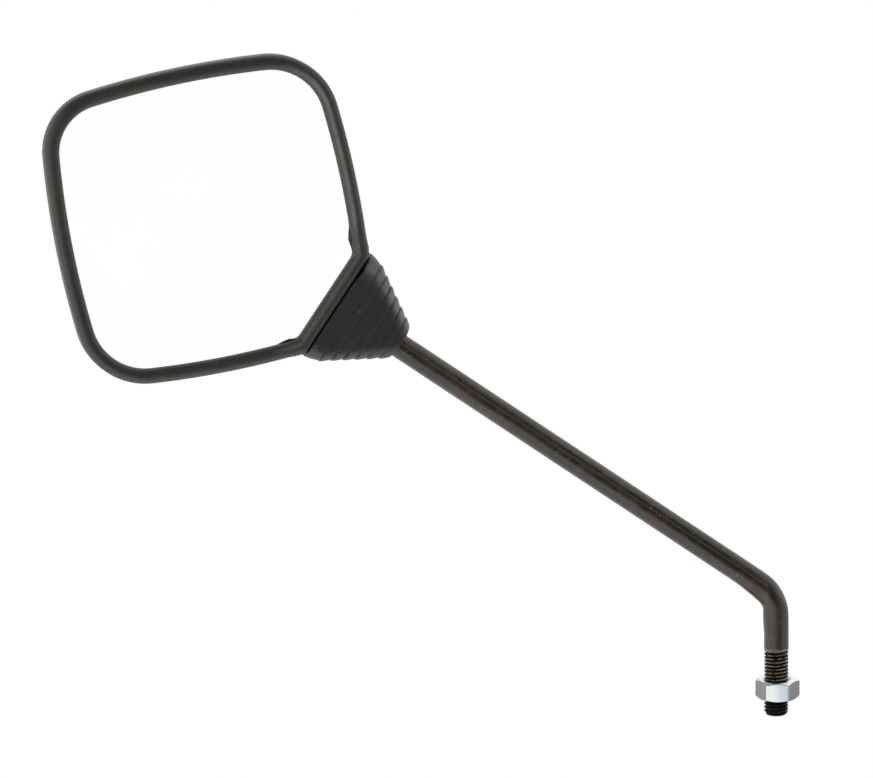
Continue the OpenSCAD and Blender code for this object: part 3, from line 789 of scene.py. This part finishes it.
# Light levels, then places in metres
WORLD_LEVEL = 0.55
DIM_LEVEL = 0.16
FLOOR_Z = -0.25
STUDIO_MIDDLE = (-0.08, 0, 0.35)
LAMPS_AIM = (-0.14, 0.0, 0.13)

# Bright areas of the studio: middle, full within and gone beyond so many degrees, added level
BRIGHT = (
    (way(92, -0.55, -0.83), 38, 82, 1.0),
    (Vector((-0.95, -0.17, -0.28)).normalized(), 25, 78, 0.85),
    (Vector((0.97, 0.10, -0.15)).normalized(), 15, 60, 0.50),
    (way(112, 0.55, 0.83), 25, 62, 0.70),
    (Vector((0.0, 0.96, 0.28)), 20, 55, 0.50),
    (Vector((0.464, -0.790, 0.399)).normalized(), 2, 7, 0.9),
)


def studio_level(nt, vec):
    """How bright the studio is in a direction, for what satin surfaces reflect."""
    total = DIM_LEVEL
    for middle, full, gone, amount in BRIGHT:
        dot = nt.nodes.new("ShaderNodeVectorMath")
        dot.operation = "DOT_PRODUCT"
        nt.links.new(vec, dot.inputs[0])
        dot.inputs[1].default_value = middle
        edge = nt.nodes.new("ShaderNodeMapRange")
        edge.interpolation_type = "SMOOTHSTEP"
        nt.links.new(dot.outputs["Value"], edge.inputs[0])
        edge.inputs[1].default_value = math.cos(math.radians(gone))
        edge.inputs[2].default_value = math.cos(math.radians(full))
        edge.inputs[4].default_value = amount
        total = maths(nt, "ADD", edge.outputs[0], total)
    return maths(nt, "MINIMUM", total, 1.0)


def light_path(nt, vec):
    """Masks for rays that see the background, and the level they see: white, uneven for satin surfaces."""
    path = nt.nodes.new("ShaderNodeLightPath")
    seen = maths(nt, "MAXIMUM", path.outputs["Is Camera Ray"],
                 maths(nt, "MAXIMUM", path.outputs["Is Glossy Ray"], path.outputs["Is Transmission Ray"]))
    satin = maths(nt, "MULTIPLY", path.outputs["Is Glossy Ray"],
                  maths(nt, "SUBTRACT", 1.0, path.outputs["Is Singular Ray"]))
    dim = maths(nt, "SUBTRACT", 1.0, studio_level(nt, vec))
    return seen, maths(nt, "SUBTRACT", 1.0, maths(nt, "MULTIPLY", satin, dim))


def studio():
    """A pale floor and an even world; reflections in satin surfaces see the bright areas instead."""
    mat, nt, out = bare_material("floor_white")
    place = nt.nodes.new("ShaderNodeTexCoord")
    away = nt.nodes.new("ShaderNodeVectorMath")
    away.operation = "SUBTRACT"
    nt.links.new(place.outputs["Object"], away.inputs[0])
    away.inputs[1].default_value = STUDIO_MIDDLE
    flat = nt.nodes.new("ShaderNodeVectorMath")
    flat.operation = "NORMALIZE"
    nt.links.new(away.outputs[0], flat.inputs[0])
    seen, level = light_path(nt, flat.outputs[0])
    glow = nt.nodes.new("ShaderNodeEmission")
    glow.inputs[0].default_value = (1, 1, 1, 1)
    nt.links.new(level, glow.inputs[1])
    pale = nt.nodes.new("ShaderNodeBsdfDiffuse")
    pale.inputs[0].default_value = (0.8, 0.8, 0.8, 1)
    mix = nt.nodes.new("ShaderNodeMixShader")
    nt.links.new(seen, mix.inputs[0])
    nt.links.new(pale.outputs[0], mix.inputs[1])
    nt.links.new(glow.outputs[0], mix.inputs[2])
    nt.links.new(mix.outputs[0], out.inputs[0])
    bpy.ops.mesh.primitive_plane_add(size=12, location=(0, 0, FLOOR_Z))
    floor = bpy.context.object
    floor.name = "floor"
    floor.data.materials.append(mat)

    world = bpy.data.worlds.new("studio")
    bpy.context.scene.world = world
    world.use_nodes = True
    nt = world.node_tree
    nt.nodes.clear()
    out = nt.nodes.new("ShaderNodeOutputWorld")
    bg = nt.nodes.new("ShaderNodeBackground")
    place = nt.nodes.new("ShaderNodeTexCoord")
    seen, level = light_path(nt, place.outputs["Generated"])
    bg.inputs[0].default_value = (1, 1, 1, 1)
    soft = maths(nt, "MULTIPLY", maths(nt, "SUBTRACT", 1.0, seen), WORLD_LEVEL)
    nt.links.new(maths(nt, "ADD", maths(nt, "MULTIPLY", seen, level), soft), bg.inputs[1])
    nt.links.new(bg.outputs[0], out.inputs[0])


def lamp(name, size, power, place):
    data = bpy.data.lights.new(name, "AREA")
    data.shape = "RECTANGLE"
    data.size, data.size_y = size
    data.energy = power
    obj = bpy.data.objects.new(name, data)
    bpy.context.scene.collection.objects.link(obj)
    obj.location = place
    way_there = Vector(LAMPS_AIM) - Vector(place)
    obj.rotation_euler = way_there.to_track_quat("-Z", "Y").to_euler()
    obj.visible_glossy = False


def card(name, corners, level):
    """A reflector beside the object that only reflections show."""
    mat, nt, out = bare_material(name)
    glow = nt.nodes.new("ShaderNodeEmission")
    glow.inputs[0].default_value = (*level, 1)
    nt.links.new(glow.outputs[0], out.inputs[0])
    mesh = bpy.data.meshes.new(name)
    mesh.from_pydata([Vector(c) * MM for c in corners], [], [tuple(range(len(corners)))])
    mesh.materials.append(mat)
    obj = bpy.data.objects.new(name, mesh)
    bpy.context.scene.collection.objects.link(obj)
    obj.visible_camera = False
    obj.visible_diffuse = False
    obj.visible_shadow = False
    obj.visible_transmission = False


studio()
# Reflectors for the nut: two before its front flat, one beside each flat next to it
card("nut_card_left", ((-16, -46, -22), (1, -46, -22), (1, -46, 5), (-16, -46, 5)), (0.96, 1.0, 1.0))
card("nut_card_right", ((1, -46, -22), (16, -46, -22), (16, -46, 5), (1, -46, 5)), (0.68, 0.75, 0.82))
card("nut_side_left", ((-33, -6, -14), (-33, 24, -14), (-33, 24, 18), (-33, -6, 18)), (0.32, 0.32, 0.31))
card("nut_side_right", ((31, -4, -14), (31, 30, -14), (31, 30, 18), (31, -4, 18)), (0.27, 0.275, 0.265))
lamp("key", (0.8, 0.8), 9, (-0.9, -1.2, 1.3))
lamp("fill", (1.2, 0.9), 6, (1.2, -0.9, 0.6))

# Scale and size of the picture, the pixel of the stud's tip, the distance in metres
PIXEL_MM = 0.406
WIDTH_PX, HEIGHT_PX = 873, 778
TIP_X, TIP_Y = 777.1, 714.6
DISTANCE = 13.0
SENSOR = 36.0
right = (WIDTH_PX / 2 - TIP_X) * PIXEL_MM * MM
up = (TIP_Y - HEIGHT_PX / 2) * PIXEL_MM * MM / math.cos(ELEVATION)
aim = Vector((right, 0.0, up))
cam = bpy.data.cameras.new("camera")
cam.sensor_width = SENSOR
cam.lens = SENSOR * DISTANCE / (WIDTH_PX * PIXEL_MM * MM)
cam.clip_end = 100
cam_obj = bpy.data.objects.new("camera", cam)
bpy.context.scene.collection.objects.link(cam_obj)
cam_obj.location = aim + FRONT_WAY * DISTANCE
cam_obj.rotation_euler = (-FRONT_WAY).to_track_quat("-Z", "Y").to_euler()
bpy.context.scene.camera = cam_obj
bpy.context.scene.view_settings.view_transform = "Standard"
